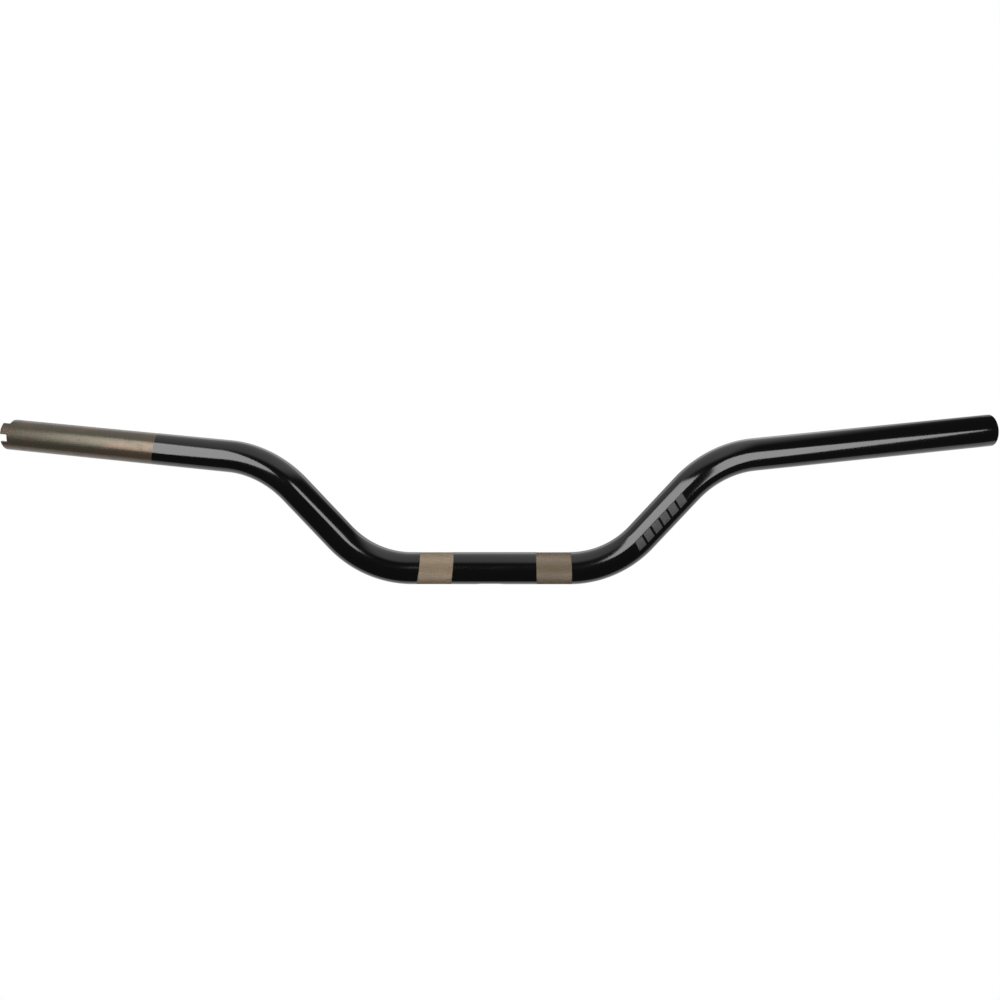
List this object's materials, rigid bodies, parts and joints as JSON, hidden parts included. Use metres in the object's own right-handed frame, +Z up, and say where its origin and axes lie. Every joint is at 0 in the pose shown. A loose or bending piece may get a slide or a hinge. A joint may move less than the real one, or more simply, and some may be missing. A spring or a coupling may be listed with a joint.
{
  "type": "motorcycle handlebar",
  "caption": "Bent 25.4 mm steel motorcycle handlebar with rising ends, rolled clamp bands at the centre and a bare notched throttle end.",
  "frame": {"origin": "middle of the straight centre section, on the tube's axis, where the riser clamps hold the bar", "axes": "+X along the centre section to the clutch side, +Y to the rider, +Z up the risers"},
  "size_m": [0.8083, 0.0693, 0.1292],
  "materials": {
    "bare_steel": "bare mild steel, lightly oiled, warm heat tint",
    "black_powder_coat": "gloss black powder coat",
    "grey_print": "matte grey ink"
  },
  "bodies": {
    "root": {"steel_tube": "bare_steel", "coat_throttle_side": "black_powder_coat", "coat_centre": "black_powder_coat", "coat_clutch_side": "black_powder_coat", "riser_mark": "grey_print"}
  },
  "joints": []
}
